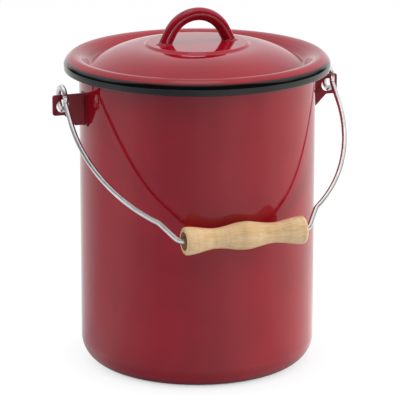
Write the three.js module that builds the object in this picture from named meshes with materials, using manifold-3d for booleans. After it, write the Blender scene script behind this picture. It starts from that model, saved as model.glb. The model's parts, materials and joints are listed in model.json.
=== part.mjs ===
// Enamelled steel pail with an overlapping lid, two welded ears, a swinging wire bail and a turned grip.
// Millimetres, +Z up. The pail stands on z = 0 round the Z axis, its ears lie on X, and the bail
// leans forward, towards -Y, until its grip all but touches the pail.
import * as THREE from 'three';
import { mergeVertices } from 'three/addons/utils/BufferGeometryUtils.js';
import Module from 'manifold-3d';

const wasm = await Module();
wasm.setup();
const degrees = THREE.MathUtils.degToRad;

// Gaps between pieces
const seatGap = 0.3; // pieces that are welded, or rest on each other
const restGap = 0.4; // a moving piece where it comes to rest against a fixed one
const overrun = 5; // how far a cut, or a stem that is cut off, runs past the cutting plane

// Pail: a drawn shell with a rolled rim
const bodyRadius = 110;
const bodyWall = 1.2;
const bodyCornerRadius = 25;
const rimHeight = 292.9;
const rimCurlRadius = 4;
const rimCurlTurn = degrees(300);
const rimBandHeight = 5; // from the curl's centre down to the lower edge of the rim's own enamel

// Lid: one pressed sheet. Insets are counted from the inside of the pail's wall, and heights and drops
// from the lid's crest, the highest ring of the arch round its edge
const lidSheet = 1.2;
const lidPadRadius = 47.2;
const lidPadHeight = 10.2;
const lidPadStep = 2;
const lidPadRounding = 2.2;
const lidDomeInset = 13.2;
const lidDomeDrop = 6.4;
const lidDomeBulge = 3.6;
const lidGrooveInset = 9.8;
const lidGrooveDrop = 8.5;
const lidGrooveRounding = 3;
const lidFlangeInset = 4.5;
const lidFlangeRounding = 2;
const lidArchRadius = 16; // of the flange's broad arch, which rests on the rim
const lidArchSlope = degrees(31); // where the arch begins
const lidShoulderReach = 8.5;
const lidShoulderPower = 1.6; // 2 makes the shoulder a quarter of an ellipse, and less makes it flatter
const lidEdgeDrop = 9.3; // from the crest down to the widest place
const lidBandDrop = 4.1;
const lidSkirtDrop = 14.4;
const lidEdgeClearance = 4.2; // between the pail's rim and the lid's hem
const lidHemThickness = 3;
const lidHemHeight = 8;

// Lid handle: a round bow with splayed legs and flared feet
const handleDiameter = 12;
const handleHeight = 32.6; // above the lid's pad
const handleBowRadius = 29.4; // of the centre line
const handleBowHalfAngle = degrees(63);
const handleFootRadius = 8.4;
const handleFootHeight = 3;

// Bail: one bent wire. Each end is an eye that goes through an ear's hole and over its top edge
const wireDiameter = 4.7;
const eyeRadius = 10.5; // of the wire's centre line
const eyeEnd = degrees(353); // counted from straight down, over the front
const eyeShift = 0.5; // from the middle of the ear's hole out to the eye
const neckRadius = 4;
const bowOffset = 5.5; // from the hinge axis to the plane of the bow
const bowStraight = 30;
const bowDepth = 140;
const shoulderReach = 76;
const shoulderRadius = 14;
const elbowReach = 4.4; // beyond the grip's end
const elbowRadius = 9;
const gripDrop = 165.7; // from the hinge axis to the grip's axis, along the plane of the bow

// Ears: a fin of sheet on a foot that follows the pail's wall. Reaches are counted from the wall
const earSheet = 2.4;
const earTopDrop = 27.9; // from the rim's top to the ear's
const earReach = 31;
const earTabHeight = 19.2;
const earTabLength = 11;
const earTabRounding = 2.5;
const earFootHeight = 29.7;
const earFootReach = 9.6;
const earFootSheet = 1.4;
const earFootWidth = 18;
const earFillet = 3.5;
const earCornerRadius = 2.4;
const earHolePlay = 3.75; // round the wire
const earHoleReach = 21.3;
const earHoleDrop = 10.5; // from the ear's top edge to the hole's centre

// Grip: turned wood with a through bore, free to turn on the wire
const gripLength = 116;
const gripBellyRadius = 12.85;
const gripNeckRadius = 9.3;
const gripEndRounding = 4;
const gripPlay = 1.65; // round the wire
const gripSinkRadius = 7.5;
const gripSinkDepth = 3;

// Fineness of the round shapes
const roundSegments = 48;
const gripSegments = 28;
const wireSides = 10;
const handleSides = 14;
const curlSteps = 12;
const curveSteps = 8;
const cornerSteps = 3;

// Radii and places worked out from the sizes
const wireRadius = wireDiameter / 2;
const handleRadius = handleDiameter / 2;
const hemRadius = lidHemThickness / 2;
const wallInside = bodyRadius - bodyWall;
const rimCurlCentre = new THREE.Vector2(wallInside + rimCurlRadius, rimHeight - rimCurlRadius);
const rimJoinHeight = rimCurlCentre.y - rimBandHeight;
const rimOutside = rimCurlCentre.x + rimCurlRadius;
const lidEdgeRadius = rimOutside + lidEdgeClearance + lidHemThickness;
const lidCrestRadius = lidEdgeRadius - lidShoulderReach;
const earTopHeight = rimHeight - earTopDrop;
const earHoleRadius = wireRadius + earHolePlay;
const earHoleCentre = new THREE.Vector2(bodyRadius + earHoleReach, earTopHeight - earHoleDrop);
const bowHalfSpan = earHoleCentre.x + eyeShift;

// The lid's arch rests on the curl of the rim: the curl, the gap and the sheet lie one behind the other
// on the line from the arch's centre through the curl's
const archToCurl = lidArchRadius - lidSheet - seatGap - rimCurlRadius;
const archCentreDrop = Math.sqrt(archToCurl ** 2 - (lidCrestRadius - rimCurlCentre.x) ** 2);
const lidCrestHeight = rimCurlCentre.y - archCentreDrop + lidArchRadius;

// The bail's eyes hang in the ears' holes, and the hinge axis runs through their middles
const eyePlay = earHolePlay - restGap;
const eyeDrop = Math.sqrt(eyePlay ** 2 - eyeShift ** 2);
const hingeHeight = earHoleCentre.y - eyeDrop + eyeRadius;

// The bail leans forward until its grip is restGap from the pail's wall
const gripSwing = Math.hypot(gripDrop, bowOffset);
const restReach = bodyRadius + gripBellyRadius + restGap;
const bailLean = Math.asin(restReach / gripSwing) - Math.atan2(bowOffset, gripDrop);

// A closed geometry as a solid for joining and cutting
function solidOf(geometry) {
  const bare = new THREE.BufferGeometry();
  bare.setAttribute('position', geometry.getAttribute('position'));
  bare.setIndex(geometry.index);
  const merged = mergeVertices(bare);
  const corners = merged.index.array;
  const triVerts = [];
  for (let i = 0; i < corners.length; i += 3) {
    const [a, b, c] = corners.slice(i, i + 3);
    if (a !== b && b !== c && c !== a) triVerts.push(a, b, c);
  }
  const vertProperties = new Float32Array(merged.getAttribute('position').array);
  return new wasm.Manifold(new wasm.Mesh({ numProp: 3, vertProperties, triVerts: new Uint32Array(triVerts) }));
}

function geometryOf(solid) {
  const { vertProperties, triVerts } = solid.getMesh();
  const geometry = new THREE.BufferGeometry();
  geometry.setAttribute('position', new THREE.BufferAttribute(new Float32Array(vertProperties), 3));
  geometry.setIndex(new THREE.BufferAttribute(new Uint32Array(triVerts), 1));
  geometry.computeVertexNormals();
  return geometry;
}

// A solid turned round the Z axis from an outline of (radius, height) points
function turned(outline, segments) {
  const points = THREE.ShapeUtils.isClockWise(outline) ? outline.slice().reverse() : outline.slice();
  points.push(points[0].clone());
  return solidOf(new THREE.LatheGeometry(points, segments).rotateX(Math.PI / 2));
}

// The outline of a bent sheet: the given surface, and the other one a thickness away on its right
function sheetOutline(surface, thickness) {
  const back = surface.map((point, i) => {
    const before = surface[Math.max(i - 1, 0)];
    const after = surface[Math.min(i + 1, surface.length - 1)];
    const arriving = (i > 0 ? point.clone().sub(before) : after.clone().sub(point)).normalize();
    const leaving = (i < surface.length - 1 ? after.clone().sub(point) : point.clone().sub(before)).normalize();
    const along = arriving.clone().add(leaving).normalize();
    const mitre = thickness / along.dot(arriving);
    return new THREE.Vector2(point.x + along.y * mitre, point.y - along.x * mitre);
  });
  return surface.concat(back.reverse());
}

function arcPoints(centre, radius, from, to, steps) {
  const points = [];
  for (let i = 0; i <= steps; i += 1) {
    const angle = from + ((to - from) * i) / steps;
    points.push(new THREE.Vector2(centre.x + radius * Math.cos(angle), centre.y + radius * Math.sin(angle)));
  }
  return points;
}

// An arc that rounds the corner between two straight lines, no larger than the lines have room for
function cornerArc(before, corner, after, radius, steps) {
  const back = before.clone().sub(corner);
  const on = after.clone().sub(corner);
  const half = back.angleTo(on) / 2;
  const reach = Math.min(radius / Math.tan(half), back.length() / 2, on.length() / 2);
  const centre = back.normalize().clone().add(on.normalize()).setLength(reach / Math.cos(half)).add(corner);
  const start = corner.clone().addScaledVector(back, reach).sub(centre).angle();
  const end = corner.clone().addScaledVector(on, reach).sub(centre).angle();
  const turn = Math.atan2(Math.sin(end - start), Math.cos(end - start));
  return arcPoints(centre, reach * Math.tan(half), start, start + turn, steps);
}

// An arc from one place to another that bulges out to the left of the way
function bulgedArc(from, to, bulge, steps) {
  const across = to.clone().sub(from);
  const halfWidth = across.length() / 2;
  const radius = (halfWidth ** 2 + bulge ** 2) / (2 * bulge);
  const left = new THREE.Vector2(-across.y, across.x).normalize();
  const centre = from.clone().add(to).divideScalar(2).addScaledVector(left, bulge - radius);
  const halfTurn = Math.asin(halfWidth / radius);
  return arcPoints(centre, radius, left.angle() + halfTurn, left.angle() - halfTurn, steps);
}

// A curve through a list of places, with one station at each of them
class StationCurve extends THREE.Curve {
  constructor(places) {
    super();
    this.places = places;
  }

  getPoint(t, target = new THREE.Vector3()) {
    const station = THREE.MathUtils.clamp(t, 0, 1) * (this.places.length - 1);
    const i = Math.min(Math.floor(station), this.places.length - 2);
    return target.lerpVectors(this.places[i], this.places[i + 1], station - i);
  }

  // At a place, the middle between the way in and the way out, so that bends are mitred
  getTangent(t, target = new THREE.Vector3()) {
    const i = Math.round(t * (this.places.length - 1));
    const place = this.places[i];
    const before = this.places[i - 1] ?? place;
    const after = this.places[i + 1] ?? place;
    const arriving = place.clone().sub(before).normalize();
    return target.subVectors(after, place).normalize().add(arriving).normalize();
  }

  getUtoTmapping(u) {
    return u;
  }
}

// A flat shape made thick, or drawn along a path, as a geometry with an index
function extruded(shape, depth, curveSegments, extrudePath, steps = 1) {
  const options = { depth, curveSegments, extrudePath, steps, bevelEnabled: false };
  const geometry = new THREE.ExtrudeGeometry(shape, options);
  const count = geometry.getAttribute('position').count;
  return geometry.setIndex([...Array(count).keys()]);
}

function tubeAlong(places, radius, sides) {
  const section = new THREE.Shape(arcPoints(new THREE.Vector2(), radius, 0, 2 * Math.PI, sides).slice(0, sides));
  return solidOf(extruded(section, 0, 1, new StationCurve(places), places.length - 1));
}

// The pail's shell: flat bottom, round corner and straight wall
function pailBody() {
  const cornerCentre = new THREE.Vector2(bodyRadius - bodyCornerRadius, bodyCornerRadius);
  const outside = [
    new THREE.Vector2(bodyRadius, rimJoinHeight - seatGap),
    ...arcPoints(cornerCentre, bodyCornerRadius, 0, -Math.PI / 2, curveSteps),
    new THREE.Vector2(0, 0),
  ];
  return turned(sheetOutline(outside, bodyWall), roundSegments);
}

// The rolled rim: the wall's top, curled outwards and down until it nearly meets the wall again
function pailRolledRim() {
  const curl = arcPoints(rimCurlCentre, rimCurlRadius, Math.PI, Math.PI - rimCurlTurn, curlSteps);
  const inside = [new THREE.Vector2(wallInside, rimJoinHeight), ...curl];
  return turned(sheetOutline(inside, bodyWall), roundSegments);
}

// Points on the lid's outer shoulder, a flattened ellipse from the crest out to the widest place and on
// past it
function lidShoulder(fromDrop, toDrop, steps) {
  const flatter = 2 / lidShoulderPower;
  const angleAt = (drop) => {
    const height = 1 - drop / lidEdgeDrop;
    return Math.acos(Math.sign(height) * Math.abs(height) ** (1 / flatter));
  };
  const from = angleAt(fromDrop);
  const to = angleAt(toDrop);
  const points = [];
  for (let i = 0; i <= steps; i += 1) {
    const angle = from + ((to - from) * i) / steps;
    const reach = lidShoulderReach * Math.sin(angle) ** flatter;
    const height = Math.sign(Math.cos(angle)) * Math.abs(Math.cos(angle)) ** flatter;
    points.push(new THREE.Vector2(lidCrestRadius + reach, lidEdgeDrop * (height - 1)));
  }
  return points;
}

// The lid's pressing: pad, step, dome, groove, arch, and the shoulder down to the rolled edge
function lidPan() {
  const archCentre = new THREE.Vector2(lidCrestRadius, -lidArchRadius);
  const arch = arcPoints(archCentre, lidArchRadius, Math.PI / 2 + lidArchSlope, Math.PI / 2, curveSteps);
  const flangeFootRadius = wallInside - lidFlangeInset;
  const flangeDrop = (arch[0].x - flangeFootRadius) * Math.tan(lidArchSlope) - arch[0].y;
  const middle = new THREE.Vector2(0, lidPadHeight);
  const padEdge = new THREE.Vector2(lidPadRadius, lidPadHeight);
  const stepFoot = new THREE.Vector2(lidPadRadius + lidPadStep, lidPadHeight - lidPadStep);
  const domeFoot = new THREE.Vector2(wallInside - lidDomeInset, -lidDomeDrop);
  const groove = new THREE.Vector2(wallInside - lidGrooveInset, -lidGrooveDrop);
  const flangeFoot = new THREE.Vector2(flangeFootRadius, -flangeDrop);
  const surface = [
    middle,
    ...cornerArc(middle, padEdge, stepFoot, lidPadRounding, cornerSteps),
    ...bulgedArc(stepFoot, domeFoot, lidDomeBulge, curveSteps),
    ...cornerArc(domeFoot, groove, flangeFoot, lidGrooveRounding, cornerSteps),
    ...cornerArc(groove, flangeFoot, arch[0], lidFlangeRounding, cornerSteps),
    ...arch,
    ...lidShoulder(0, lidBandDrop, curveSteps).slice(1),
  ];
  return turned(sheetOutline(surface, lidSheet), roundSegments);
}

// The lid's rolled edge: the skirt, folded back on itself at the bottom
function lidRolledEdge() {
  const hemTopDrop = lidSkirtDrop - lidHemHeight;
  const skirt = lidShoulder(lidBandDrop + seatGap, hemTopDrop, cornerSteps);
  const fold = lidShoulder(hemTopDrop, lidSkirtDrop - hemRadius, curveSteps);
  const hemCentre = fold[fold.length - 1].clone().sub(new THREE.Vector2(hemRadius, 0));
  const hem = arcPoints(hemCentre, hemRadius, 0, -Math.PI, cornerSteps);
  const hemTop = new THREE.Vector2(lidEdgeRadius - lidHemThickness, -hemTopDrop);
  const skirtInside = sheetOutline(skirt, lidSheet).slice(skirt.length);
  return turned([...skirt, ...fold.slice(1), ...hem.slice(1), hemTop, ...skirtInside.slice(1)], roundSegments);
}

// The lid's handle, with its feet on the plane z = 0
function lidHandle() {
  const bowCentre = new THREE.Vector2(0, handleHeight - handleRadius - handleBowRadius);
  const bowStart = Math.PI / 2 + handleBowHalfAngle;
  const bow = arcPoints(bowCentre, handleBowRadius, bowStart, Math.PI - bowStart, 2 * curveSteps);
  const splay = 1 / Math.tan(handleBowHalfAngle);
  const footReach = bow[bow.length - 1].x + bow[0].y * splay;
  const stem = new THREE.Vector2(footReach + overrun * splay, -overrun);
  const centreLine = [stem.clone().setX(-stem.x), ...bow, stem];
  const tube = tubeAlong(centreLine.map((p) => new THREE.Vector3(p.x, 0, p.y)), handleRadius, handleSides);
  const foot = new THREE.Path();
  foot.moveTo(0, 0);
  foot.lineTo(handleFootRadius, 0);
  foot.quadraticCurveTo(handleRadius, 0, handleRadius, handleFootHeight);
  foot.lineTo(0, handleFootHeight);
  const flare = geometryOf(turned(foot.getPoints(cornerSteps), 2 * handleSides));
  let handle = tube;
  for (const side of [-1, 1]) {
    const leaning = new THREE.Matrix4().makeShear(0, 0, 0, 0, -side * splay, 0).setPosition(side * footReach, 0, 0);
    handle = handle.add(solidOf(flare.clone().applyMatrix4(leaning)));
  }
  const cutWidth = 2 * stem.x + 2 * handleFootRadius;
  const below = new THREE.BoxGeometry(cutWidth, cutWidth, 2 * overrun + seatGap);
  return handle.subtract(solidOf(below.translate(0, 0, seatGap / 2 - overrun)));
}

// One ear, on the +X side: its plan and its side view, each extruded, and what the two have in common
function ear() {
  const footInside = bodyRadius + seatGap;
  const footOutside = footInside + earFootSheet;
  const finHalf = earSheet / 2;
  const outerEnd = bodyRadius + earReach;
  const footAngle = earFootWidth / 2 / footOutside;
  const filletReach = Math.sqrt((footOutside + earFillet) ** 2 - (finHalf + earFillet) ** 2);
  const filletAngle = Math.atan2(finHalf + earFillet, filletReach);
  const plan = new THREE.Shape();
  plan.absarc(0, 0, footInside, -footAngle, footAngle, false);
  plan.absarc(0, 0, footOutside, footAngle, filletAngle, true);
  plan.absarc(filletReach, finHalf + earFillet, earFillet, Math.PI + filletAngle, 1.5 * Math.PI, false);
  plan.lineTo(outerEnd, finHalf);
  plan.lineTo(outerEnd, -finHalf);
  plan.absarc(filletReach, -finHalf - earFillet, earFillet, Math.PI / 2, Math.PI - filletAngle, false);
  plan.absarc(0, 0, footOutside, -filletAngle, -footAngle, true);
  const footBottom = earTopHeight - earFootHeight;
  const fromAbove = extruded(plan, earFootHeight, cornerSteps).translate(0, 0, footBottom);

  const tabBottom = earTopHeight - earTabHeight;
  const tabInner = new THREE.Vector2(outerEnd - earTabLength, tabBottom);
  const tabOuter = new THREE.Vector2(outerEnd, tabBottom);
  const top = new THREE.Vector2(outerEnd, earTopHeight);
  const footCorner = new THREE.Vector2(bodyRadius + earFootReach, footBottom);
  const innerTop = new THREE.Vector2(bodyRadius - overrun, earTopHeight);
  const side = new THREE.Shape([
    innerTop,
    ...cornerArc(innerTop, top, tabOuter, earCornerRadius, cornerSteps),
    ...cornerArc(top, tabOuter, tabInner, earCornerRadius, cornerSteps),
    ...cornerArc(tabOuter, tabInner, footCorner, earTabRounding, cornerSteps),
    footCorner,
    new THREE.Vector2(innerTop.x, footBottom),
  ]);
  side.holes.push(new THREE.Path().absarc(earHoleCentre.x, earHoleCentre.y, earHoleRadius, 0, 2 * Math.PI));
  const fromFront = extruded(side, 2 * earFootWidth, curveSteps).rotateX(Math.PI / 2);
  return solidOf(fromAbove).intersect(solidOf(fromFront.translate(0, earFootWidth, 0)));
}

// Half of the bail's centre line, from the bend beside the grip to the end of one eye. It is built
// hanging straight down from the hinge axis, as places (reach, -front, -drop)
function bailHalf() {
  const shoulderAngle = Math.acos(shoulderReach / bowHalfSpan);
  const bowPoint = (angle) => new THREE.Vector2(
    bowHalfSpan * Math.cos(angle),
    bowStraight + bowDepth * Math.sin(angle),
  );
  const middle = new THREE.Vector2(0, gripDrop);
  const elbow = new THREE.Vector2(gripLength / 2 + elbowReach, gripDrop);
  const bow = [];
  for (let i = 0; i <= curveSteps; i += 1) {
    bow.push(bowPoint(shoulderAngle * (1 - i / curveSteps)));
  }
  const [shoulder, pastShoulder] = bow;
  const neckReach = bowOffset + neckRadius;
  const neckDrop = Math.sqrt((eyeRadius + neckRadius) ** 2 - neckReach ** 2);
  const neckCentre = new THREE.Vector2(neckReach, neckDrop);
  const eyeStart = Math.atan2(neckDrop, neckReach);
  const eye = arcPoints(new THREE.Vector2(), eyeRadius, eyeStart, Math.PI / 2 - eyeEnd, 2 * curveSteps);
  return [
    ...cornerArc(middle, elbow, shoulder, elbowRadius, cornerSteps),
    ...cornerArc(elbow, shoulder, pastShoulder, shoulderRadius, cornerSteps),
    ...bow.slice(1),
  ].map((p) => new THREE.Vector3(p.x, -bowOffset, -p.y)).concat([
    ...arcPoints(neckCentre, neckRadius, Math.PI, Math.PI + eyeStart, cornerSteps),
    ...eye.slice(1),
  ].map((p) => new THREE.Vector3(bowHalfSpan, -p.x, -p.y)));
}

function bailWire() {
  const right = bailHalf();
  const left = right.map((p) => p.clone().setX(-p.x)).reverse();
  return tubeAlong([...left, ...right], wireRadius, wireSides);
}

// The grip, turned round X: round ends, two waists and a belly between them
function grip() {
  const half = gripLength / 2;
  const wave = half - gripEndRounding;
  const waveDepth = (gripBellyRadius - gripNeckRadius) / 2;
  const outside = [];
  for (let i = 0; i <= curveSteps; i += 1) {
    const alongShare = i / curveSteps;
    const radius = gripNeckRadius + waveDepth * (1 + Math.cos(2 * Math.PI * alongShare));
    outside.push(new THREE.Vector2(radius, wave * alongShare));
  }
  const endCentre = new THREE.Vector2(gripBellyRadius - gripEndRounding, wave);
  outside.push(...arcPoints(endCentre, gripEndRounding, 0, Math.PI / 2, cornerSteps).slice(1));
  outside.push(new THREE.Vector2(gripSinkRadius, half));
  outside.push(new THREE.Vector2(wireRadius + gripPlay, half - gripSinkDepth));
  const otherHalf = outside.slice(1).map((p) => new THREE.Vector2(p.x, -p.y)).reverse();
  return turned([...otherHalf, ...outside], gripSegments).rotate([0, 90, 0]);
}

function enamel(color) {
  return new THREE.MeshStandardMaterial({ color, roughness: 0.12, metalness: 0 });
}

function piece(name, solid, material) {
  const mesh = new THREE.Mesh(geometryOf(solid), material);
  mesh.name = name;
  return mesh;
}

const redEnamel = 0x8c1c28;
const blackEnamel = 0x141416;
const zincWire = new THREE.MeshStandardMaterial({ color: 0xc4c8ca, roughness: 0.3, metalness: 1 });
const paleWood = new THREE.MeshStandardMaterial({ color: 0xdcbd8c, roughness: 0.6, metalness: 0 });

const pail = new THREE.Group();
pail.add(piece('pail_body', pailBody(), enamel(redEnamel)));
pail.add(piece('pail_rolled_rim', pailRolledRim(), enamel(blackEnamel)));
const rightEar = piece('ear_right', ear(), enamel(redEnamel));
const leftEar = piece('ear_left', ear(), enamel(redEnamel));
leftEar.rotation.z = Math.PI;
pail.add(rightEar, leftEar);

const lid = new THREE.Group();
lid.position.z = lidCrestHeight;
const handle = piece('lid_handle', lidHandle(), enamel(redEnamel));
handle.position.z = lidPadHeight;
lid.add(piece('lid_pan', lidPan(), enamel(redEnamel)), handle);
lid.add(piece('lid_rolled_edge', lidRolledEdge(), enamel(blackEnamel)));

const bail = new THREE.Group();
bail.position.z = hingeHeight;
bail.rotation.x = -bailLean;
const woodenGrip = piece('wooden_grip', grip(), paleWood);
woodenGrip.position.set(0, -bowOffset, -gripDrop);
bail.add(piece('bail_wire', bailWire(), zincWire), woodenGrip);

const pailWithLid = new THREE.Group();
pailWithLid.add(pail, lid, bail);

export default pailWithLid;
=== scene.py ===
"""Looks of the enamel lidded pail: enamel, zinc-plated wire and turned beech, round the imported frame."""

import json
import math

import bmesh
import bpy
from mathutils import Matrix, Vector


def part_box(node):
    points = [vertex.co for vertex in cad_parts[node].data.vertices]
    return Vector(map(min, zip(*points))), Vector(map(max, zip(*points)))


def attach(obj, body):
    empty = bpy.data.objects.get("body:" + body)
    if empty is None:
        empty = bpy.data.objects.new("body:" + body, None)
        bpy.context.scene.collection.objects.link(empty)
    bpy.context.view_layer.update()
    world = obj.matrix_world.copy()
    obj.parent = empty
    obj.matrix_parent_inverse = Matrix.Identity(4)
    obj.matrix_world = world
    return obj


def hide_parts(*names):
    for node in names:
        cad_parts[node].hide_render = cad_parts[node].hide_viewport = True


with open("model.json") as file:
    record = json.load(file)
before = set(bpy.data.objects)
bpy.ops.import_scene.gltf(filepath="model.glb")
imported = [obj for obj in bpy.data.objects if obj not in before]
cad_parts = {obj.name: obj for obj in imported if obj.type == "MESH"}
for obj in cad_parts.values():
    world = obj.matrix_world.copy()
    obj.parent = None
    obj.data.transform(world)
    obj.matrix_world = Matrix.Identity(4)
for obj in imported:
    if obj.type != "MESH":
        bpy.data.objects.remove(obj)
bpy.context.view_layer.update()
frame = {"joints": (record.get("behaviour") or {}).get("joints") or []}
scene = bpy.context.scene

# Metres and radians. Main sizes and places come from the frame
body_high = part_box("pail_body")[1]
rim_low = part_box("pail_rolled_rim")[0]
pan_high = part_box("lid_pan")[1]
edge_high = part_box("lid_rolled_edge")[1]
handle_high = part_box("lid_handle")[1]
ear_low, ear_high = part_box("ear_right")
grip_low, grip_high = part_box("wooden_grip")
joints = {joint["name"]: joint for joint in frame["joints"]}
hinge_place = Vector(joints["bail_swing"]["pos_m"])
grip_centre = Vector(joints["grip_turn"]["pos_m"])

# Fineness
ROUND_SEGMENTS = 160
FINE_STEPS = 24
WAVE_STEPS = 2 * FINE_STEPS
EYE_STEPS = 3 * FINE_STEPS
CORNER_STEPS = 8
WIRE_SIDES = 24
HANDLE_SIDES = 40
GRIP_SEGMENTS = 72
SHARP_ANGLE = math.radians(40)
TINY = 1e-7

# Pail
BODY_RADIUS = body_high.x
WALL = 0.0012
BODY_CORNER = 0.025
WALL_INSIDE = BODY_RADIUS - WALL
CURL_RADIUS = 0.004
CURL_TURN = math.radians(300)
RIM_JOIN = rim_low.z
RIM_BAND = 0.005
CURL_CENTRE = (WALL_INSIDE + CURL_RADIUS, RIM_JOIN + RIM_BAND)

# Lid, with drops from the crest of its flange
SHEET = 0.0012
PAD_TOP = pan_high.z
PAD_HEIGHT = 0.0102
CREST = PAD_TOP - PAD_HEIGHT
PAD_RADIUS = 0.0472
PAD_STEP = 0.0020
PAD_ROUNDING = 0.0020
STEP_ROUNDING = 0.0016
DOME_RADIUS = WALL_INSIDE - 0.0132
DOME_DROP = 0.0064
DOME_BULGE = 0.0036
GROOVE_RADIUS = WALL_INSIDE - 0.0098
GROOVE_DROP = 0.0085
GROOVE_ROUNDING = 0.0016
FLANGE_RADIUS = WALL_INSIDE - 0.0045
FLANGE_ROUNDING = 0.0016
ARCH_RADIUS = 0.016
ARCH_SLOPE = math.radians(31)
EDGE_RADIUS = edge_high.x
CREST_RADIUS = EDGE_RADIUS - 0.0085
SHOULDER_REACH = 0.0087
SHOULDER_DROP = 0.0095
SHOULDER_POWER = 1.6
BAND_DROP = 0.0041
BLACK_DROP = 0.0051
RED_REACH = 0.0049
BLACK_REACH = 0.0070
BEND_DROP = 0.0083
CREASE = 0.00005
SKIRT_DROP = 0.0144
HEM = 0.003
HEM_HEIGHT = 0.008
DOME_BEND_ON = 3  # points of the dome that its step's bend takes in

# Lid handle
HANDLE_RADIUS = 0.006
HANDLE_BOW = 0.0294
HANDLE_HALF_ANGLE = math.radians(63)
HANDLE_FILLET = 0.0018
HANDLE_SUNK = 0.0004
LEG_CROWDING = 1.6  # of a leg's sections towards its foot

# Bail
WIRE_RADIUS = 0.00235
EYE_RADIUS = 0.0105
EYE_END = math.radians(353)
NECK_RADIUS = 0.004
BOW_OFFSET = 0.0055
BOW_HALF_SPAN = 0.1318
BOW_STRAIGHT = 0.030
BOW_DEPTH = 0.140
BOW_SHOULDER_X = 0.076
BOW_SHOULDER_RADIUS = 0.014
ELBOW_X = grip_high.x + 0.0044
ELBOW_RADIUS = 0.009
GRIP_DROP = 0.1657
BAIL_LEAN = math.radians(46.1212)
BOW_BEND_ON = 5  # points of the bow that its shoulder's bend looks ahead

# Ears
EAR_SHEET = 0.0024
EAR_TAB_HEIGHT = 0.0192
EAR_TAB_LENGTH = 0.011
EAR_TAB_ROUNDING = 0.0025
EAR_FOOT_REACH = 0.0096
EAR_FOOT_SHEET = 0.0014
EAR_FOOT_WIDTH = 0.018
EAR_FILLET = 0.0035
EAR_CORNER = 0.0024
EAR_HOLE_RADIUS = 0.0061
EAR_HOLE_X = BODY_RADIUS + 0.0213
EAR_HOLE_Z = ear_high.z - 0.0105
EAR_SUNK = 0.0005
EAR_VOXEL = 0.00028
EAR_SOFT_SHARE = 0.5
EAR_SOFT_PASSES = 6

# Grip
GRIP_HALF = grip_high.x
GRIP_BELLY = (grip_high.y - grip_low.y) / 2
GRIP_NECK = 0.0093
GRIP_END_ROUNDING = 0.0024
GRIP_BORE = 0.004
GRIP_SINK = 0.0085
GRIP_SINK_DEPTH = 0.005

# Camera, fitted to the photograph, with its lens and sensor in millimetres
VIEW_AZIMUTH = math.radians(-20.30)
VIEW_ELEVATION = math.radians(14.85)
VIEW_DISTANCE = 2.589
VIEW_TARGET = Vector((0, 0, 0.15324))
VIEW_ASIDE = 0.00268
VIEW_LENS = 247.5
VIEW_SENSOR = 36
VIEW_CLIP = 20

# Enamel, with gloss as the least and the most roughness
RED = (0.320, 0.0035, 0.0140)
# The handle's red is a darker copy of the enamel red: painted shade on the handle
HANDLE_RED_PAINTED_SHADE = (0.27, 0.0040, 0.0150)
# The ears' red is a darker copy of the enamel red: painted shade, as little light reaches the ears under the
# lid
EAR_RED_PAINTED_SHADE = (0.19, 0.0024, 0.0100)
BLACK = (0.0030, 0.0030, 0.0033)
WHITE = (0.74, 0.71, 0.64)
ENAMEL_SPREAD = 0.09
WHITE_SPREAD = 0.02
EAR_SPREAD = 0.12
ENAMEL_GLOSS = (0.05, 0.10)
HANDLE_GLOSS = (0.08, 0.15)
EAR_GLOSS = (0.14, 0.28)
ENAMEL_WAVE = 0.00006
EAR_WAVE = 0.0004
ENAMEL_IOR = 1.5
EAR_IOR = 1.36
ENAMEL_CLOUDS = {"scale": 16, "detail": 4}
ENAMEL_HAZE = {"scale": 55, "detail": 4}
ENAMEL_WAVES = {"scale": 45, "detail": 1}
CLOUD_STOPS = (0.3, 0.7)
HAZE_STOPS = (0.35, 0.75)
FACES_UP = 0.5
FACES_DOWN = -0.2

# Wire
ZINC_ROUGHNESS = 0.35
ZINC_CLOUDS = {"scale": 60}
ZINC_SPOTS = {"scale": 140}
ZINC_SHADES = [(0.3, (0.76, 0.76, 0.74)), (0.7, (0.88, 0.88, 0.86))]
ZINC_DULLNESS = [(0.3, 0.31), (0.75, 0.40)]

# Wood, with its grain along X
WOOD_ROUGHNESS = 0.50
WOOD_COAT = 0.5
WOOD_COAT_ROUGHNESS = 0.35
WOOD_BANDS = {"scale": 90, "stretch": (0.12, 1, 1)}
WOOD_GRAIN = {"scale": 700, "detail": 4, "roughness": 0.6, "stretch": (0.06, 1, 1)}
WOOD_RAYS = {"scale": 900, "detail": 1, "stretch": (0.12, 1, 1)}
WOOD_TURNING = {"scale": 260, "stretch": (1, 0.01, 0.01)}
BAND_SHADES = [(0.3, (0.79, 0.525, 0.265)), (0.7, (0.89, 0.65, 0.38))]
GRAIN_SHADES = [(0.3, (0.88, 0.84, 0.78)), (0.7, (1.0, 1.0, 1.0))]
RAY_SHADES = [(0.28, (0.80, 0.70, 0.60)), (0.36, (1.0, 1.0, 1.0))]
TURNING_SHADES = [(0.35, (0.93, 0.91, 0.88)), (0.65, (1.0, 1.0, 1.0))]
GRAIN_DEPTH = 0.00004
TURNING_DEPTH = 0.00005
BORE_ROUGHNESS = 0.8
BORE_GRAIN = {"scale": 1200, "detail": 3}
# The bore's dark browns are partly end grain and partly painted shade inside the hole
BORE_GRAIN_AND_SHADE_COLOURS = [(0.3, (0.16, 0.075, 0.030)), (0.7, (0.34, 0.19, 0.090))]
BORE_DEPTH = 0.0001

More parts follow.
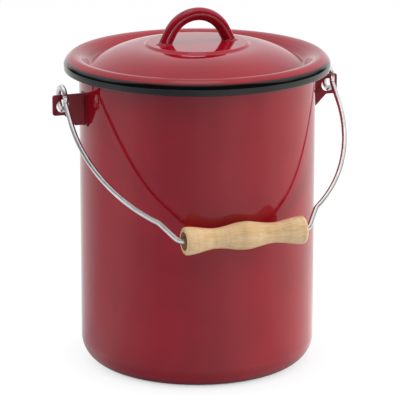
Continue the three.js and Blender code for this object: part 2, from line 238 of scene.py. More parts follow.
# Light, as levels against white, with azimuths in degrees from the camera to its right
FLOOR_HALF = 6
FLOOR_BOUNCE = 0.80
FLOOR_GLOW = 0.93
FLOOR_SHADE = 0.12
CONTACT_REACH = 0.03
CONTACT_SHADE = [
    (0.0, 0.20), (0.03, 0.36), (0.05, 0.57), (0.10, 0.74), (0.16, 0.81), (0.25, 0.88), (0.43, 0.935),
    (0.60, 0.955), (0.80, 0.97), (1.0, 1.0),
]
FILL = 0.14
PANELS = [
    (-180, 1.05), (-155, 1.05), (-126, 0.88), (-113, 0.77), (-100, 0.68), (-70, 0.86), (-48, 0.64),
    (-27, 0.50), (-10, 0.55), (13, 0.74), (35, 0.94), (54, 0.88), (78, 1.12), (100, 1.20), (125, 1.25),
    (150, 1.05), (180, 1.0),
]
PANEL_COOLNESS = 0.8
DARK_TOPS = [
    (-180, 0.0), (-155, 0.0), (-130, 0.35), (-95, 0.50), (-50, 0.93), (50, 0.93), (95, 0.50), (130, 0.35),
    (155, 0.0), (180, 0.0),
]
DARK_FADE = 0.18
DARK_ROOM = 0.03
HORIZON = [(0.0, 0.0), (0.03, 1.0)]
ROOF = [(0.05, 0.0), (0.25, 1.0)]
OVERHEAD = [(0.965, 0.97), (0.99, 2.1)]
OVERHEAD_TINT = (0.98, 1.0, 1.04)
STRIP = 5.0
STRIP_HEIGHTS = [(0.03, 0.0), (0.06, 1.0), (0.11, 1.0), (0.14, 0.0)]
STRIP_SIDES = [(-180, 0.0), (-60, 0.0), (-40, 1.0), (40, 1.0), (60, 0.0), (180, 0.0)]

# Lamps: azimuth and elevation in degrees, distance and size in metres, power in watts
LAMPS = {
    "right": (99, 10, 2.2, 1.0, 36),
    "left": (-100, 20, 2.2, 1.4, 13.5),
    "top": (0, 85, 2.0, 2.0, 32),
    "front": (4, 48, 2.2, 1.6, 10.5),
}


def arc(centre, radius, start, end, steps):
    """Points on a circle arc in a plane."""
    return [
        (centre[0] + radius * math.cos(start + (end - start) * i / steps),
         centre[1] + radius * math.sin(start + (end - start) * i / steps))
        for i in range(steps + 1)
    ]


def round_corner(before, corner, after, radius):
    """An arc that rounds the corner between two straight lines."""
    place = Vector(corner)
    back = (Vector(before) - place).normalized()
    on = (Vector(after) - place).normalized()
    half = back.angle(on) / 2
    reach = radius / math.tan(half)
    centre = place + (back + on).normalized() * (radius / math.sin(half))
    from_centre = place + back * reach - centre
    to_centre = place + on * reach - centre
    start = math.atan2(from_centre.y, from_centre.x)
    turn = math.atan2(to_centre.y, to_centre.x) - start
    turn = math.atan2(math.sin(turn), math.cos(turn))
    return arc(centre, radius, start, start + turn, CORNER_STEPS)


def bulged(start, end, bulge):
    """An arc from one point to another that bulges out to the left of the way."""
    a, b = Vector(start), Vector(end)
    half_width = (b - a).length / 2
    radius = (half_width ** 2 + bulge ** 2) / (2 * bulge)
    left = Vector((a.y - b.y, b.x - a.x)).normalized()
    centre = (a + b) / 2 + left * (bulge - radius)
    middle = math.atan2(left.y, left.x)
    half_turn = math.asin(half_width / radius)
    return arc(centre, radius, middle + half_turn, middle - half_turn, FINE_STEPS)


def sheet(surface, thickness):
    """The closed outline of a bent sheet: a surface, and the other one on its right."""
    points = [Vector(p) for p in surface]
    ways = [(b - a).normalized() for a, b in zip(points, points[1:])]
    back = []
    for i, point in enumerate(points):
        arriving = ways[max(i - 1, 0)]
        leaving = ways[min(i, len(ways) - 1)]
        along = (arriving + leaving).normalized()
        mitre = thickness / along.dot(arriving)
        back.append((point.x + along.y * mitre, point.y - along.x * mitre))
    return list(surface) + back[::-1]


def finish_mesh(name, bm):
    """Turns a bmesh into a smooth object with its faces pointing out."""
    bmesh.ops.recalc_face_normals(bm, faces=bm.faces)
    mesh = bpy.data.meshes.new(name)
    bm.to_mesh(mesh)
    bm.free()
    mesh.shade_smooth()
    mesh.set_sharp_from_angle(angle=SHARP_ANGLE)
    piece = bpy.data.objects.new(name, mesh)
    scene.collection.objects.link(piece)
    return piece


def revolve(name, outline, segments=ROUND_SEGMENTS):
    """A closed outline of (radius, height) points turned round Z."""
    bm = bmesh.new()
    rings = []
    for radius, height in outline:
        if radius < TINY:
            rings.append([bm.verts.new((0, 0, height))])
            continue
        rings.append([
            bm.verts.new((
                radius * math.cos(2 * math.pi * i / segments),
                radius * math.sin(2 * math.pi * i / segments),
                height,
            ))
            for i in range(segments)
        ])
    for ring, after in zip(rings, rings[1:] + rings[:1]):
        if len(ring) == 1 and len(after) == 1:
            continue
        for i in range(segments):
            j = (i + 1) % segments
            corners = [ring[i % len(ring)], ring[j % len(ring)], after[j % len(after)], after[i % len(after)]]
            bm.faces.new(list(dict.fromkeys(corners)))
    return finish_mesh(name, bm)


def sweep(name, sections):
    """A tube through closed sections, all with as many points, with flat ends."""
    bm = bmesh.new()
    rings = [[bm.verts.new(p) for p in section] for section in sections]
    for ring, after in zip(rings, rings[1:]):
        for i in range(len(ring)):
            j = (i + 1) % len(ring)
            bm.faces.new((ring[i], ring[j], after[j], after[i]))
    bm.faces.new(rings[0])
    bm.faces.new(rings[-1])
    return finish_mesh(name, bm)


def tube_sections(places, radius, sides):
    """Round sections square to a path, carried along it without twist."""
    sections = []
    side = None
    for i, place in enumerate(places):
        before = places[max(i - 1, 0)]
        after = places[min(i + 1, len(places) - 1)]
        arriving = (place - before).normalized()
        leaving = (after - place).normalized()
        along = (arriving + leaving).normalized()
        if side is None:
            side = along.orthogonal()
        side = (side - along * side.dot(along)).normalized()
        other = along.cross(side)
        sections.append([
            place + (side * math.cos(angle) + other * math.sin(angle)) * radius
            for angle in (2 * math.pi * k / sides for k in range(sides))
        ])
    return sections


def coat(piece, *finishes):
    """Gives a piece its materials. The first one covers it."""
    for finish in finishes:
        piece.data.materials.append(finish)


def dress(piece, body, slot, *nodes):
    """Says what a piece rides on and what it stands for. The finish slot is not used."""
    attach(piece, body)
    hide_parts(*nodes)
    return piece


# Materials

def material(name, roughness, metallic=0.0, ior=ENAMEL_IOR):
    """A new material with a Principled shader: the node tree and the shader."""
    made = bpy.data.materials.new(name)
    made.use_nodes = True
    shader = made.node_tree.nodes["Principled BSDF"]
    shader.inputs["Roughness"].default_value = roughness
    shader.inputs["Metallic"].default_value = metallic
    shader.inputs["IOR"].default_value = ior
    return made, made.node_tree, shader


def noise(tree, scale, detail=2.0, roughness=0.5, stretch=(1, 1, 1)):
    """Noise in object space, with features of about 1 / scale metres."""
    place = tree.nodes.new("ShaderNodeTexCoord")
    mapping = tree.nodes.new("ShaderNodeMapping")
    mapping.inputs["Scale"].default_value = stretch
    texture = tree.nodes.new("ShaderNodeTexNoise")
    texture.inputs["Scale"].default_value = scale
    texture.inputs["Detail"].default_value = detail
    texture.inputs["Roughness"].default_value = roughness
    tree.links.new(place.outputs["Object"], mapping.inputs["Vector"])
    tree.links.new(mapping.outputs["Vector"], texture.inputs["Vector"])
    return texture.outputs["Fac"]


def ramp(tree, value, stops, interpolation="EASE"):
    """A colour or value that follows stops of (position, colour)."""
    node = tree.nodes.new("ShaderNodeValToRGB")
    node.color_ramp.interpolation = interpolation
    elements = node.color_ramp.elements
    while len(elements) < len(stops):
        elements.new(0.5)
    for element, (position, color) in zip(elements, stops):
        element.position = position
        element.color = (*color, 1) if len(color) == 3 else color
    tree.links.new(value, node.inputs["Fac"])
    return node.outputs["Color"]


def tinted(stops, tint=(1, 1, 1)):
    """Colour stops from stops of (position, level)."""
    return [(place, tuple(level * c for c in tint)) for place, level in stops]


def bump(tree, height, distance, normal=None):
    """A surface that rises with the height, on top of another one where that is given."""
    node = tree.nodes.new("ShaderNodeBump")
    node.inputs["Distance"].default_value = distance
    node.inputs["Strength"].default_value = 1.0
    tree.links.new(height, node.inputs["Height"])
    if normal is not None:
        tree.links.new(normal, node.inputs["Normal"])
    return node.outputs["Normal"]


def multiply(tree, a, b):
    """The product of two colours."""
    node = tree.nodes.new("ShaderNodeMix")
    node.data_type = "RGBA"
    node.blend_type = "MULTIPLY"
    node.inputs["Factor"].default_value = 1.0
    tree.links.new(a, node.inputs["A"])
    tree.links.new(b, node.inputs["B"])
    return node.outputs["Result"]


def blend(tree, share, a, b):
    """Two colours or levels, the second as far as the share says."""
    node = tree.nodes.new("ShaderNodeMix")
    node.data_type = "RGBA"
    tree.links.new(share, node.inputs["Factor"])
    for name, value in (("A", a), ("B", b)):
        if isinstance(value, float):
            node.inputs[name].default_value = (value, value, value, 1)
        else:
            tree.links.new(value, node.inputs[name])
    return node.outputs["Result"]


def shades(color, spread):
    """A darker and a lighter shade of a colour."""
    return [tuple(c * (1 - spread) for c in color), tuple(c * (1 + spread) for c in color)]


def mottled(tree, color, spread=ENAMEL_SPREAD):
    """A colour in soft clouds of a darker and a lighter shade."""
    return ramp(tree, noise(tree, **ENAMEL_CLOUDS), list(zip(CLOUD_STOPS, shades(color, spread))))


def enamel_glaze(name, gloss=ENAMEL_GLOSS, wave=ENAMEL_WAVE, ior=ENAMEL_IOR):
    """A thick glossy glaze, faintly uneven in gloss and surface, without its colour."""
    made, tree, shader = material(name, gloss[0], ior=ior)
    haze = ramp(tree, noise(tree, **ENAMEL_HAZE), tinted(zip(HAZE_STOPS, gloss)))
    tree.links.new(haze, shader.inputs["Roughness"])
    tree.links.new(bump(tree, noise(tree, **ENAMEL_WAVES), wave), shader.inputs["Normal"])
    return made, tree, shader.inputs["Base Color"]


def enamel(name, color, spread=ENAMEL_SPREAD, **glaze):
    """Vitreous enamel of one colour, faintly uneven in depth."""
    made, tree, base = enamel_glaze(name, **glaze)
    tree.links.new(mottled(tree, color, spread), base)
    return made


def lid_enamel():
    """Red enamel that fades into the black one on the lid's shoulder."""
    made, tree, base = enamel_glaze("lid_enamel")
    place = tree.nodes.new("ShaderNodeTexCoord")
    radius = tree.nodes.new("ShaderNodeVectorMath")
    radius.operation = "LENGTH"
    flat = tree.nodes.new("ShaderNodeMapping")
    flat.inputs["Scale"].default_value = (1, 1, 0)
    tree.links.new(place.outputs["Object"], flat.inputs["Vector"])
    tree.links.new(flat.outputs["Vector"], radius.inputs[0])
    share = tree.nodes.new("ShaderNodeMapRange")
    share.interpolation_type = "SMOOTHSTEP"
    share.inputs["From Min"].default_value = CREST_RADIUS + BLACK_REACH
    share.inputs["From Max"].default_value = CREST_RADIUS + RED_REACH
    tree.links.new(radius.outputs["Value"], share.inputs["Value"])
    rim = mottled(tree, BLACK)
    tree.links.new(blend(tree, share.outputs["Result"], rim, mottled(tree, RED)), base)
    return made


def zinc_wire():
    """Bright zinc-plated wire, a little dull, with faint clouds of grey along it."""
    made, tree, shader = material("zinc_wire", ZINC_ROUGHNESS, metallic=1.0)
    tree.links.new(ramp(tree, noise(tree, **ZINC_CLOUDS), ZINC_SHADES), shader.inputs["Base Color"])
    tree.links.new(ramp(tree, noise(tree, **ZINC_SPOTS), tinted(ZINC_DULLNESS)), shader.inputs["Roughness"])
    return made


def beech():
    """Pale turned beech: bands and fine grain along the grip, short faint rays, turning marks across it."""
    made, tree, shader = material("turned_beech", WOOD_ROUGHNESS)
    shader.inputs["Coat Weight"].default_value = WOOD_COAT
    shader.inputs["Coat Roughness"].default_value = WOOD_COAT_ROUGHNESS
    grain = noise(tree, **WOOD_GRAIN)
    turning = noise(tree, **WOOD_TURNING)
    base = ramp(tree, noise(tree, **WOOD_BANDS), BAND_SHADES)
    fine = ramp(tree, grain, GRAIN_SHADES)
    fleck = ramp(tree, noise(tree, **WOOD_RAYS), RAY_SHADES)
    ring = ramp(tree, turning, TURNING_SHADES)
    color = multiply(tree, multiply(tree, base, fine), multiply(tree, fleck, ring))
    tree.links.new(color, shader.inputs["Base Color"])
    fibres = bump(tree, grain, GRAIN_DEPTH)
    tree.links.new(bump(tree, turning, TURNING_DEPTH, normal=fibres), shader.inputs["Normal"])
    return made


def end_grain_painted_shade():
    """Rough end grain inside the grip's bore and the inner part of its sink: the end grain's darker brown,
    with painted shade in the hole.
    """
    made, tree, shader = material("bored_beech_painted_shade", BORE_ROUGHNESS)
    grain = noise(tree, **BORE_GRAIN)
    tree.links.new(ramp(tree, grain, BORE_GRAIN_AND_SHADE_COLOURS), shader.inputs["Base Color"])
    tree.links.new(bump(tree, grain, BORE_DEPTH), shader.inputs["Normal"])
    return made


red_enamel = enamel("red_enamel", RED)
black_enamel = enamel("black_enamel", BLACK)
white_enamel = enamel("white_enamel", WHITE, WHITE_SPREAD)
lid_finish = lid_enamel()
# The handle takes the darker copy of the red: painted shade
handle_finish_painted_shade = enamel("handle_enamel_painted_shade", HANDLE_RED_PAINTED_SHADE, gloss=HANDLE_GLOSS)
# The ears take the darker copy of the red: painted shade
ear_finish_painted_shade = enamel("ear_enamel_painted_shade", EAR_RED_PAINTED_SHADE, EAR_SPREAD, gloss=EAR_GLOSS, wave=EAR_WAVE, ior=EAR_IOR)
wire_finish = zinc_wire()
wood_finish = beech()
# Dark wood for the bore: end grain with painted shade
bore_finish_painted_shade = end_grain_painted_shade()


# Pail

def paint_inside(piece, is_inside):
    """Gives the faces of an inside the white ground enamel."""
    coat(piece, white_enamel)
    for face in piece.data.polygons:
        if is_inside(face.center, face.normal):
            face.material_index = len(piece.data.materials) - 1


def pail_shell():
    """The deep-drawn pail: a wall, a rounded corner and a flat bottom, red outside and white inside."""
    corner = (BODY_RADIUS - BODY_CORNER, BODY_CORNER)
    outside = [(BODY_RADIUS, RIM_JOIN), *arc(corner, BODY_CORNER, 0, -math.pi / 2, FINE_STEPS), (0, 0)]
    piece = revolve("pail_shell", sheet(outside, WALL))
    coat(piece, red_enamel)
    paint_inside(piece, lambda place, normal: normal.xy.dot(place.xy) < 0 or normal.z > FACES_UP)
    return dress(piece, "pail", "red_enamel", "pail_body")


def pail_rim():
    """The pail's top edge, rolled outwards into an open curl."""
    curl = arc(CURL_CENTRE, CURL_RADIUS, math.pi, math.pi - CURL_TURN, WAVE_STEPS)
    piece = revolve("pail_rim", sheet([(WALL_INSIDE, RIM_JOIN), *curl], WALL))
    coat(piece, black_enamel)
    return dress(piece, "pail", "black_enamel", "pail_rolled_rim")


# Lid

def lid_shoulder(from_drop, to_drop):
    """The lid's shoulder, a flattened ellipse from the crest out, cut off upright at the widest place."""
    flatter = 2 / SHOULDER_POWER
    start, end = (
        math.acos((1 - drop / SHOULDER_DROP) ** (1 / flatter)) for drop in (from_drop, to_drop)
    )
    points = []
    for i in range(FINE_STEPS + 1):
        angle = start + (end - start) * i / FINE_STEPS
        radius = CREST_RADIUS + SHOULDER_REACH * math.sin(angle) ** flatter
        points.append((min(radius, EDGE_RADIUS), CREST - SHOULDER_DROP * (1 - math.cos(angle) ** flatter)))
    return points


def lid_surface():
    """The lid's upper surface, from its middle out to where the black band begins."""
    middle = (0, PAD_TOP)
    pad_edge = (PAD_RADIUS, PAD_TOP)
    step_foot = (PAD_RADIUS + PAD_STEP, PAD_TOP - PAD_STEP)
    dome_foot = (DOME_RADIUS, CREST - DOME_DROP)
    groove = (GROOVE_RADIUS, CREST - GROOVE_DROP)
    crest_centre = (CREST_RADIUS, CREST - ARCH_RADIUS)
    arch = arc(crest_centre, ARCH_RADIUS, math.pi / 2 + ARCH_SLOPE, math.pi / 2, FINE_STEPS)
    flange_foot = (FLANGE_RADIUS, arch[0][1] - (arch[0][0] - FLANGE_RADIUS) * math.tan(ARCH_SLOPE))
    dome = bulged(step_foot, dome_foot, DOME_BULGE)
    return [
        middle,
        *round_corner(middle, pad_edge, step_foot, PAD_ROUNDING),
        *round_corner(pad_edge, step_foot, dome[DOME_BEND_ON], STEP_ROUNDING),
        *dome[DOME_BEND_ON:],
        *round_corner(dome_foot, groove, flange_foot, GROOVE_ROUNDING),
        *round_corner(groove, flange_foot, arch[0], FLANGE_ROUNDING),
        *arch,
        *lid_shoulder(0, BAND_DROP)[1:],
    ]


def lid_pan():
    """The lid's pressing, red above and white below."""
    piece = revolve("lid_pressing", sheet(lid_surface(), SHEET))
    coat(piece, lid_finish)
    paint_inside(piece, lambda place, normal: normal.z < FACES_DOWN)
    return dress(piece, "lid", "red_enamel", "lid_pan")


def lid_edge():
    """The lid's black edge: the shoulder's lower part, a crease, a skirt and a hem folded back inside it."""
    hem_top = SKIRT_DROP - HEM_HEIGHT
    skirt = lid_shoulder(BAND_DROP, hem_top)
    bend = [*lid_shoulder(hem_top, BEND_DROP - CREASE), lid_shoulder(BEND_DROP - CREASE, BEND_DROP)[-1]]
    fold = [*bend, (EDGE_RADIUS, CREST - SKIRT_DROP + HEM / 2)]
    hem_centre = (EDGE_RADIUS - HEM / 2, fold[-1][1])
    hem = arc(hem_centre, HEM / 2, 0, -math.pi, CORNER_STEPS)
    inner = (EDGE_RADIUS - HEM, CREST - hem_top)
    skirt_inside = sheet(skirt, SHEET)[len(skirt):]
    piece = revolve("lid_edge", [*skirt, *fold[1:], *hem[1:], inner, *skirt_inside[1:]])
    coat(piece, black_enamel, lid_finish)
    for face in piece.data.polygons:
        outward = face.normal.xy.dot(face.center.xy) > 0
        face.material_index = int(outward and face.center.z > CREST - BLACK_DROP)
    return dress(piece, "lid", "black_enamel", "lid_rolled_edge")


def lid_handle():
    """A round bow with splayed legs. Towards each foot its sections turn level and flare out into the pad."""
    bow_centre = Vector((0, 0, handle_high.z - HANDLE_RADIUS - HANDLE_BOW))
    splay = math.pi / 2 - HANDLE_HALF_ANGLE
    bow_end = bow_centre + HANDLE_BOW * Vector((math.cos(splay), 0, math.sin(splay)))
    leg_height = bow_end.z - PAD_TOP

    def section(centre, out, wide, deep):
        return [
            centre + out * (wide * math.cos(angle)) + Vector((0, deep * math.sin(angle), 0))
            for angle in (2 * math.pi * k / HANDLE_SIDES for k in range(HANDLE_SIDES))
        ]

    def leg_section(share, side):
        height = (leg_height + HANDLE_SUNK) * share ** LEG_CROWDING - HANDLE_SUNK
        centre = Vector((side * (bow_end.x + (leg_height - height) * math.tan(splay)), 0, PAD_TOP + height))
        lean = splay * share
        out = Vector((side * math.cos(lean), 0, math.sin(lean)))
        low = min(max(0.0, 1 - height / HANDLE_FILLET), 1.0)
        flare = HANDLE_FILLET * (1 - math.sqrt(1 - low ** 2))
        return section(centre, out, HANDLE_RADIUS / math.cos(splay - lean) + flare, HANDLE_RADIUS + flare)

    right = [leg_section(i / FINE_STEPS, 1) for i in range(FINE_STEPS + 1)]
    left = [leg_section(i / FINE_STEPS, -1) for i in range(FINE_STEPS + 1)]
    bow = []
    for i in range(1, WAVE_STEPS):
        angle = math.pi - splay - (math.pi - 2 * splay) * i / WAVE_STEPS
        out = Vector((math.cos(angle), 0, math.sin(angle)))
        bow.append(section(bow_centre + out * HANDLE_BOW, out, HANDLE_RADIUS, HANDLE_RADIUS))
    piece = sweep("lid_bow_handle", [*left, *bow, *right[::-1]])
    # The handle's darker red is painted shade
    coat(piece, handle_finish_painted_shade)
    return dress(piece, "lid", "red_enamel", "lid_handle")


# Ears

def prism(name, outlines, height, turn):
    """Upright prism of a closed outline and its holes, as high as given, then turned."""
    curve = bpy.data.curves.new(name, "CURVE")
    curve.dimensions = "2D"
    curve.fill_mode = "BOTH"
    curve.extrude = height / 2
    for outline in outlines:
        spline = curve.splines.new("POLY")
        spline.points.add(len(outline) - 1)
        for point, (x, y) in zip(spline.points, outline):
            point.co = (x, y, 0, 1)
        spline.use_cyclic_u = True
    made = bpy.data.objects.new(name, curve)
    mesh = bpy.data.meshes.new_from_object(made)
    bpy.data.objects.remove(made)
    bm = bmesh.new()
    bm.from_mesh(mesh)
    bpy.data.meshes.remove(mesh)
    bmesh.ops.remove_doubles(bm, verts=bm.verts, dist=TINY)
    bmesh.ops.transform(bm, matrix=turn, verts=bm.verts)
    return finish_mesh(name, bm)


def ear_plan():
    """The ear from above: a foot bent to the wall, and a fin that grows out of it through two fillets."""
    inside = BODY_RADIUS - EAR_SUNK
    outside = BODY_RADIUS + EAR_FOOT_SHEET
    fin = EAR_SHEET / 2
    foot_angle = EAR_FOOT_WIDTH / 2 / outside
    fillet_x = math.sqrt((outside + EAR_FILLET) ** 2 - (fin + EAR_FILLET) ** 2)
    fillet_angle = math.atan2(fin + EAR_FILLET, fillet_x)
    half = [
        *arc((0, 0), outside, -foot_angle, -fillet_angle, CORNER_STEPS),
        *arc((fillet_x, -fin - EAR_FILLET), EAR_FILLET, math.pi - fillet_angle, math.pi / 2,
             CORNER_STEPS)[1:],
        (ear_high.x, -fin),
    ]
    other = [(x, -y) for x, y in reversed(half)]
    return half + other + arc((0, 0), inside, foot_angle, -foot_angle, 2 * CORNER_STEPS)


def ear_side():
    """The ear from the front: a tab at the top and a slope down to the foot, and its hole."""
    low, high = ear_low.z, ear_high.z
    out = ear_high.x
    inner_top = (BODY_RADIUS - EAR_FILLET, high)
    top = (out, high)
    tab_outer = (out, high - EAR_TAB_HEIGHT)
    tab_inner = (out - EAR_TAB_LENGTH, tab_outer[1])
    foot = (BODY_RADIUS + EAR_FOOT_REACH, low)
    outline = [
        inner_top,
        *round_corner(inner_top, top, tab_outer, EAR_CORNER),
        *round_corner(top, tab_outer, tab_inner, EAR_CORNER),
        *round_corner(tab_outer, tab_inner, foot, EAR_TAB_ROUNDING),
        foot,
        (inner_top[0], low),
    ]
    hole = arc((EAR_HOLE_X, EAR_HOLE_Z), EAR_HOLE_RADIUS, 0, 2 * math.pi, WAVE_STEPS)[:-1]
    return outline, hole


def baked(piece, name):
    """The piece with its modifiers applied, as a new object."""
    mesh = bpy.data.meshes.new_from_object(piece.evaluated_get(bpy.context.evaluated_depsgraph_get()))
    bpy.data.objects.remove(piece)
    bm = bmesh.new()
    bm.from_mesh(mesh)
    bpy.data.meshes.remove(mesh)
    return finish_mesh(name, bm)


def ear_solid():
    """Plan and side outline cut into each other, then softened as thick enamel softens an edge."""
    height = ear_high.z - ear_low.z
    plan = prism("ear_plan", [ear_plan()], height, Matrix.Translation((0, 0, ear_low.z + height / 2)))
    side = prism("ear_side", ear_side(), 2 * EAR_FOOT_WIDTH, Matrix.Rotation(math.pi / 2, 4, "X"))
    cut = plan.modifiers.new("cut", "BOOLEAN")
    cut.operation = "INTERSECT"
    cut.object = side
    grid = plan.modifiers.new("grid", "REMESH")
    grid.mode = "VOXEL"
    grid.voxel_size = EAR_VOXEL
    soft = plan.modifiers.new("soft", "SMOOTH")
    soft.factor = EAR_SOFT_SHARE
    soft.iterations = EAR_SOFT_PASSES
    bpy.context.view_layer.update()
    made = baked(plan, "ear_right_enamelled")
    bpy.data.objects.remove(side)
    return made


def ears():
    """The right ear, and its mirror image on the left."""
    right = ear_solid()
    bm = bmesh.new()
    bm.from_mesh(right.data)
    bmesh.ops.scale(bm, vec=(-1, 1, 1), verts=bm.verts)
    left = finish_mesh("ear_left_enamelled", bm)
    for piece, node in ((right, "ear_right"), (left, "ear_left")):
        # The ears' darker red is painted shade
        coat(piece, ear_finish_painted_shade)
        dress(piece, "pail", "red_enamel", node)


# Bail and grip

def bail_half():
    """The wire's centre line from the grip's middle to the end of the right eye, hanging straight down."""
    shoulder_angle = math.acos(BOW_SHOULDER_X / BOW_HALF_SPAN)
    bow = [
        (BOW_HALF_SPAN * math.cos(angle), BOW_STRAIGHT + BOW_DEPTH * math.sin(angle))
        for angle in (shoulder_angle * (1 - i / WAVE_STEPS) for i in range(WAVE_STEPS + 1))
    ]
    middle = (0, GRIP_DROP)
    elbow = (ELBOW_X, GRIP_DROP)
    shoulder = bow[0]
    neck_reach = BOW_OFFSET + NECK_RADIUS
    neck_drop = math.sqrt((EYE_RADIUS + NECK_RADIUS) ** 2 - neck_reach ** 2)
    turn = math.atan2(neck_drop, neck_reach)
    rounded = round_corner(elbow, shoulder, bow[BOW_BEND_ON], BOW_SHOULDER_RADIUS)
    front = [*round_corner(middle, elbow, shoulder, ELBOW_RADIUS), *rounded,
             *[point for point in bow if point[0] > rounded[-1][0] + WIRE_RADIUS / 2]]
    end = [
        *arc((neck_reach, neck_drop), NECK_RADIUS, math.pi, math.pi + turn, CORNER_STEPS),
        *arc((0, 0), EYE_RADIUS, turn, math.pi / 2 - EYE_END, EYE_STEPS)[1:],
    ]
    return [Vector((x, -BOW_OFFSET, -drop)) for x, drop in front] + [
        Vector((BOW_HALF_SPAN, -reach, -drop)) for reach, drop in end
    ]


def bail():
    """One wire, swung forward about its eyes until the grip rests on the wall."""
    right = bail_half()
    left = [Vector((-p.x, p.y, p.z)) for p in reversed(right)]
    swing = Matrix.Translation(hinge_place) @ Matrix.Rotation(-BAIL_LEAN, 4, "X")
    places = [swing @ p for p in left + right]
    piece = sweep("bail_zinc_wire", tube_sections(places, WIRE_RADIUS, WIRE_SIDES))
    coat(piece, wire_finish)
    return dress(piece, "bail", "zinc_wire", "bail_wire")


def grip():
    """Turned grip with a belly, two necks and rounded ends, sunk round the bore."""
    wave = GRIP_HALF - GRIP_END_ROUNDING
    depth = (GRIP_BELLY - GRIP_NECK) / 2
    half = [
        (GRIP_NECK + depth * (1 + math.cos(2 * math.pi * i / WAVE_STEPS)), wave * i / WAVE_STEPS)
        for i in range(WAVE_STEPS + 1)
    ]
    half += arc((GRIP_BELLY - GRIP_END_ROUNDING, wave), GRIP_END_ROUNDING, 0, math.pi / 2, CORNER_STEPS)[1:]
    half += [(GRIP_SINK, GRIP_HALF), (GRIP_BORE, GRIP_HALF - GRIP_SINK_DEPTH)]
    other = [(radius, -along) for radius, along in reversed(half[1:])]
    piece = revolve("grip_turned", other + half, GRIP_SEGMENTS)
    coat(piece, wood_finish, bore_finish_painted_shade)
    # Faces round the bore take the dark wood: end grain with painted shade in the hole
    for face in piece.data.polygons:
        face.material_index = int(face.center.xy.length < (GRIP_SINK + GRIP_BORE) / 2)
    piece.data.transform(Matrix.Translation(grip_centre) @ Matrix.Rotation(math.pi / 2, 4, "Y"))
    return dress(piece, "grip", "pale_wood", "wooden_grip")


# Studio

def math_node(tree, operation, *values):
    """A math node on sockets and numbers, and its result."""
    node = tree.nodes.new("ShaderNodeMath")
    node.operation = operation
    for i, value in enumerate(values):
        if isinstance(value, (int, float)):
            node.inputs[i].default_value = value
        else:
            tree.links.new(value, node.inputs[i])
    return node.outputs[0]


def seen_from_pail(tree, output):
    """The azimuth from the camera to its right, as a share of a turn from the back, and the height."""
    place = tree.nodes.new("ShaderNodeTexCoord")
    turn = tree.nodes.new("ShaderNodeVectorRotate")
    turn.rotation_type = "Z_AXIS"
    turn.inputs["Angle"].default_value = math.pi - VIEW_AZIMUTH
    apart = tree.nodes.new("ShaderNodeSeparateXYZ")
    tree.links.new(place.outputs[output], turn.inputs["Vector"])
    tree.links.new(turn.outputs["Vector"], apart.inputs["Vector"])
    azimuth = math_node(tree, "ARCTAN2", apart.outputs["X"], apart.outputs["Y"])
    share = tree.nodes.new("ShaderNodeMapRange")
    share.inputs["From Min"].default_value = math.pi
    share.inputs["From Max"].default_value = -math.pi
    tree.links.new(azimuth, share.inputs["Value"])
    return share.outputs["Result"], apart.outputs["Z"]


def by_azimuth(tree, share, stops, coolness=1.0):
    """A level that follows stops of (degrees from the camera to its right, level), bluer where it is dim."""
    return ramp(tree, share, [
        ((math.radians(degrees) + math.pi) / (2 * math.pi), (level, level, level ** coolness))
        for degrees, level in stops
    ])


def mixed(tree, share, a, b):
    """Two shaders, the second as far as the share says."""
    node = tree.nodes.new("ShaderNodeMixShader")
    for socket, value in zip(node.inputs, (share, a, b)):
        tree.links.new(value, socket)
    return node.outputs[0]


def matt(tree, level):
    """A matt grey shader."""
    node = tree.nodes.new("ShaderNodeBsdfDiffuse")
    node.inputs["Color"].default_value = (level, level, level, 1)
    return node.outputs[0]


def shining(tree, kind, color, strength=1.0):
    """A shader that gives light of its own: an emission, or a background of the world."""
    node = tree.nodes.new(kind)
    node.inputs["Strength"].default_value = strength
    if color is None:
        node.inputs["Color"].default_value = (1, 1, 1, 1)
    else:
        tree.links.new(color, node.inputs["Color"])
    return node.outputs[0]


def studio_floor():
    """A pale floor: white to the camera but for the shade round the pail, and panels of light to a mirror."""
    bm = bmesh.new()
    bmesh.ops.create_grid(bm, x_segments=1, y_segments=1, size=FLOOR_HALF)
    floor = finish_mesh("studio_floor", bm)
    made = bpy.data.materials.new("studio_floor")
    made.use_nodes = True
    tree = made.node_tree
    tree.nodes.clear()
    paths = tree.nodes.new("ShaderNodeLightPath").outputs
    contact = tree.nodes.new("ShaderNodeAmbientOcclusion")
    contact.inputs["Distance"].default_value = CONTACT_REACH
    shade = ramp(tree, contact.outputs["AO"], tinted(CONTACT_SHADE), "LINEAR")
    azimuth = seen_from_pail(tree, "Object")[0]
    panels = multiply(tree, by_azimuth(tree, azimuth, PANELS, PANEL_COOLNESS), contact.outputs["AO"])
    lit = tree.nodes.new("ShaderNodeAddShader")
    tree.links.new(matt(tree, FLOOR_SHADE), lit.inputs[0])
    tree.links.new(shining(tree, "ShaderNodeEmission", shade, FLOOR_GLOW), lit.inputs[1])
    mirrored = mixed(tree, paths["Is Glossy Ray"], matt(tree, FLOOR_BOUNCE),
                     shining(tree, "ShaderNodeEmission", panels))
    seen = mixed(tree, paths["Is Camera Ray"], mirrored, lit.outputs[0])
    tree.links.new(seen, tree.nodes.new("ShaderNodeOutputMaterial").inputs["Surface"])
    coat(floor, made)


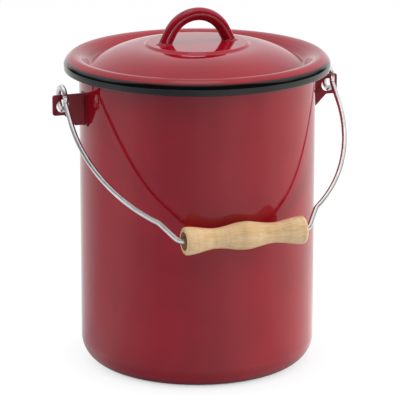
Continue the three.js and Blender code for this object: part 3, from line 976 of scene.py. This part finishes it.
def room(tree):
    """What a mirror sees of the studio: panels round it, a dark room over them, a strip and a light roof."""
    share, height = seen_from_pail(tree, "Generated")
    low = by_azimuth(tree, share, PANELS, PANEL_COOLNESS)
    dark_top = by_azimuth(tree, share, DARK_TOPS)
    under_top = math_node(tree, "DIVIDE", math_node(tree, "SUBTRACT", dark_top, height), DARK_FADE)
    clamped = math_node(tree, "MINIMUM", math_node(tree, "MAXIMUM", under_top, 0.0), 1.0)
    dark = math_node(tree, "MULTIPLY", ramp(tree, height, tinted(HORIZON)), clamped)
    roof = ramp(tree, height, tinted(OVERHEAD, OVERHEAD_TINT))
    high = blend(tree, ramp(tree, height, tinted(ROOF)), low, roof)
    strip = ramp(tree, height, tinted(STRIP_HEIGHTS))
    front = math_node(tree, "MULTIPLY", strip, by_azimuth(tree, share, STRIP_SIDES))
    return blend(tree, front, blend(tree, dark, high, DARK_ROOM), STRIP)


def studio_world():
    """White to the camera, the room to a mirror, and an even fill to the rest."""
    world = bpy.data.worlds.new("studio")
    scene.world = world
    world.use_nodes = True
    tree = world.node_tree
    tree.nodes.clear()
    paths = tree.nodes.new("ShaderNodeLightPath").outputs
    sharp = math_node(tree, "MAXIMUM", paths["Is Glossy Ray"], paths["Is Transmission Ray"])
    mirrored = mixed(tree, sharp, shining(tree, "ShaderNodeBackground", None, FILL),
                     shining(tree, "ShaderNodeBackground", room(tree)))
    seen = mixed(tree, paths["Is Camera Ray"], mirrored, shining(tree, "ShaderNodeBackground", None))
    tree.links.new(seen, tree.nodes.new("ShaderNodeOutputWorld").inputs["Surface"])


def facing_pail(data, azimuth, elevation, distance, aside=0.0):
    """A camera or a lamp that faces the pail from a distance, moved aside to its own right."""
    back = Vector((math.sin(azimuth) * math.cos(elevation), -math.cos(azimuth) * math.cos(elevation),
                   math.sin(elevation)))
    right = Vector((math.cos(azimuth), math.sin(azimuth), 0))
    made = bpy.data.objects.new(data.name, data)
    made.location = VIEW_TARGET + right * aside + back * distance
    made.rotation_euler = back.to_track_quat("Z", "Y").to_euler()
    scene.collection.objects.link(made)
    return made


def lamp(name, azimuth, elevation, distance, size, power):
    """A square softbox that no mirror shows. Azimuth is counted from the camera to its right."""
    light = bpy.data.lights.new(name, "AREA")
    light.shape = "SQUARE"
    light.size = size
    light.energy = power
    made = facing_pail(light, VIEW_AZIMUTH + math.radians(azimuth), math.radians(elevation), distance)
    made.visible_glossy = False


def studio_camera():
    """The camera that the photograph was taken from, as fitted to it."""
    camera = bpy.data.cameras.new("camera")
    camera.sensor_width = VIEW_SENSOR
    camera.lens = VIEW_LENS
    camera.clip_end = VIEW_CLIP
    scene.camera = facing_pail(camera, VIEW_AZIMUTH, VIEW_ELEVATION, VIEW_DISTANCE, VIEW_ASIDE)


for build in (pail_shell, pail_rim, lid_pan, lid_edge, lid_handle, ears, bail, grip):
    build()

scene.view_settings.view_transform = "Standard"
studio_camera()
studio_floor()
studio_world()
for name, settings in LAMPS.items():
    lamp(name, *settings)
